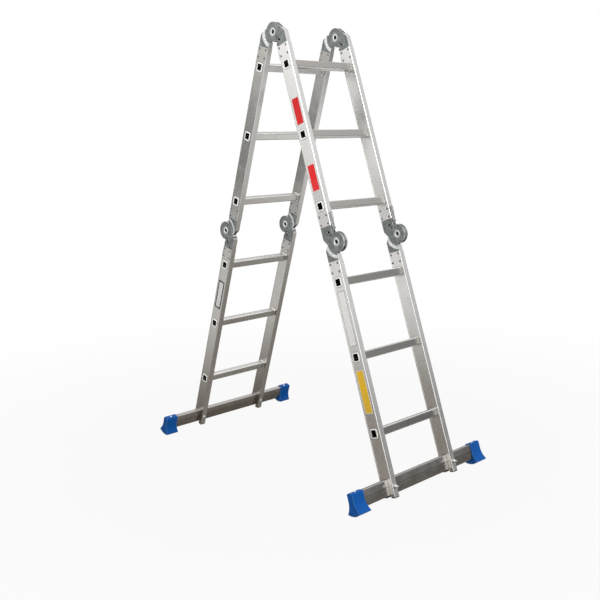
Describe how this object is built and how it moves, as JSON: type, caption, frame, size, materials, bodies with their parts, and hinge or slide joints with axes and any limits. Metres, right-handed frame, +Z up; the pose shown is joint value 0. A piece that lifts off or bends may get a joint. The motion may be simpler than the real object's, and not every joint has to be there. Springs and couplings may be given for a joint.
{
  "type": "multi position ladder",
  "caption": "Folding aluminium ladder of hinged sections with locking hinges and stabiliser bars, standing as an A-frame; folds flat or opens straight.",
  "frame": {"origin": "on the floor, midway between the four feet", "axes": "+X along the rungs to the right, +Y from the front leg to the rear leg, +Z up"},
  "size_m": [0.734, 1.2254, 1.7403],
  "materials": {
    "rail_aluminium": "extruded, satin",
    "rung_aluminium": "extruded, ribbed",
    "zinc_steel": "zinc plated",
    "bright_steel": "bright plated",
    "spring_steel": "plain",
    "blue_plastic": "moulded",
    "dark_plastic": "moulded"
  },
  "bodies": {
    "front_upper": {"front_upper_rail_left": "rail_aluminium", "front_upper_rail_right": "rail_aluminium", "front_upper_rungs": "rung_aluminium", "top_hinge_cheeks_left": "zinc_steel", "top_hinge_cheeks_right": "zinc_steel", "front_hinge_cheeks_left": "zinc_steel", "front_hinge_cheeks_right": "zinc_steel", "front_upper_pivot_pins": "bright_steel", "front_upper_lock_springs": "spring_steel", "front_upper_rivets": "bright_steel"},
    "front_lower": {"front_lower_rail_left": "rail_aluminium", "front_lower_rail_right": "rail_aluminium", "front_lower_rungs": "rung_aluminium", "front_hinge_plates_left": "zinc_steel", "front_hinge_plates_right": "zinc_steel", "front_lower_hinge_bushes": "zinc_steel", "front_lower_rivets": "bright_steel", "front_stabiliser_bar": "rail_aluminium", "front_left_foot": "blue_plastic", "front_right_foot": "blue_plastic", "front_bar_bolts": "bright_steel", "front_bar_nuts": "zinc_steel", "front_rail_plugs": "dark_plastic", "front_foot_screws": "bright_steel"},
    "rear_upper": {"rear_upper_rail_left": "rail_aluminium", "rear_upper_rail_right": "rail_aluminium", "rear_upper_rungs": "rung_aluminium", "top_hinge_plates_left": "zinc_steel", "top_hinge_plates_right": "zinc_steel", "rear_hinge_plates_left": "zinc_steel", "rear_hinge_plates_right": "zinc_steel", "rear_upper_hinge_bushes": "zinc_steel", "rear_upper_rivets": "bright_steel"},
    "rear_lower": {"rear_lower_rail_left": "rail_aluminium", "rear_lower_rail_right": "rail_aluminium", "rear_lower_rungs": "rung_aluminium", "rear_hinge_cheeks_left": "zinc_steel", "rear_hinge_cheeks_right": "zinc_steel", "rear_lower_pivot_pins": "bright_steel", "rear_lower_lock_springs": "spring_steel", "rear_lower_rivets": "bright_steel", "rear_stabiliser_bar": "rail_aluminium", "rear_left_foot": "blue_plastic", "rear_right_foot": "blue_plastic", "rear_bar_bolts": "bright_steel", "rear_bar_nuts": "zinc_steel", "rear_rail_plugs": "dark_plastic", "rear_foot_screws": "bright_steel"},
    "top_lock_left": {"top_lock_pin_left": "bright_steel", "top_lock_lever_left": "zinc_steel"},
    "top_lock_right": {"top_lock_pin_right": "bright_steel", "top_lock_lever_right": "zinc_steel"},
    "front_lock_left": {"front_lock_pin_left": "bright_steel", "front_lock_lever_left": "zinc_steel"},
    "front_lock_right": {"front_lock_pin_right": "bright_steel", "front_lock_lever_right": "zinc_steel"},
    "rear_lock_left": {"rear_lock_pin_left": "bright_steel", "rear_lock_lever_left": "zinc_steel"},
    "rear_lock_right": {"rear_lock_pin_right": "bright_steel", "rear_lock_lever_right": "zinc_steel"}
  },
  "joints": [
    {"name": "top_fold", "type": "hinge", "parent": "front_upper", "child": "rear_upper", "pos_m": [0, 0, 1.70234], "axis": [1, 0, 0], "range_deg": [-35.6, 144.4]},
    {"name": "front_fold", "type": "hinge", "parent": "front_upper", "child": "front_lower", "pos_m": [0, -0.32831, 0.91529], "axis": [1, 0, 0], "range_deg": [-180, 0]},
    {"name": "rear_fold", "type": "hinge", "parent": "rear_upper", "child": "rear_lower", "pos_m": [0, 0.32831, 0.91529], "axis": [-1, 0, 0], "range_deg": [-180, 0]},
    {"name": "top_lock_left_slide", "type": "slide", "parent": "front_upper", "child": "top_lock_left", "axis": [0, 0.7638, 0.6455], "range_m": [0, 0.005], "stiffness_N_per_m": 400, "springref_m": 0.005},
    {"name": "top_lock_right_slide", "type": "slide", "parent": "front_upper", "child": "top_lock_right", "axis": [0, 0.7638, 0.6455], "range_m": [0, 0.005], "stiffness_N_per_m": 400, "springref_m": 0.005},
    {"name": "front_lock_left_slide", "type": "slide", "parent": "front_upper", "child": "front_lock_left", "axis": [0, -0.7638, -0.6455], "range_m": [0, 0.005], "stiffness_N_per_m": 400, "springref_m": 0.005},
    {"name": "front_lock_right_slide", "type": "slide", "parent": "front_upper", "child": "front_lock_right", "axis": [0, -0.7638, -0.6455], "range_m": [0, 0.005], "stiffness_N_per_m": 400, "springref_m": 0.005},
    {"name": "rear_lock_left_slide", "type": "slide", "parent": "rear_lower", "child": "rear_lock_left", "axis": [0, 0.2453, 0.9694], "range_m": [0, 0.005], "stiffness_N_per_m": 400, "springref_m": 0.005},
    {"name": "rear_lock_right_slide", "type": "slide", "parent": "rear_lower", "child": "rear_lock_right", "axis": [0, 0.2453, 0.9694], "range_m": [0, 0.005], "stiffness_N_per_m": 400, "springref_m": 0.005}
  ]
}
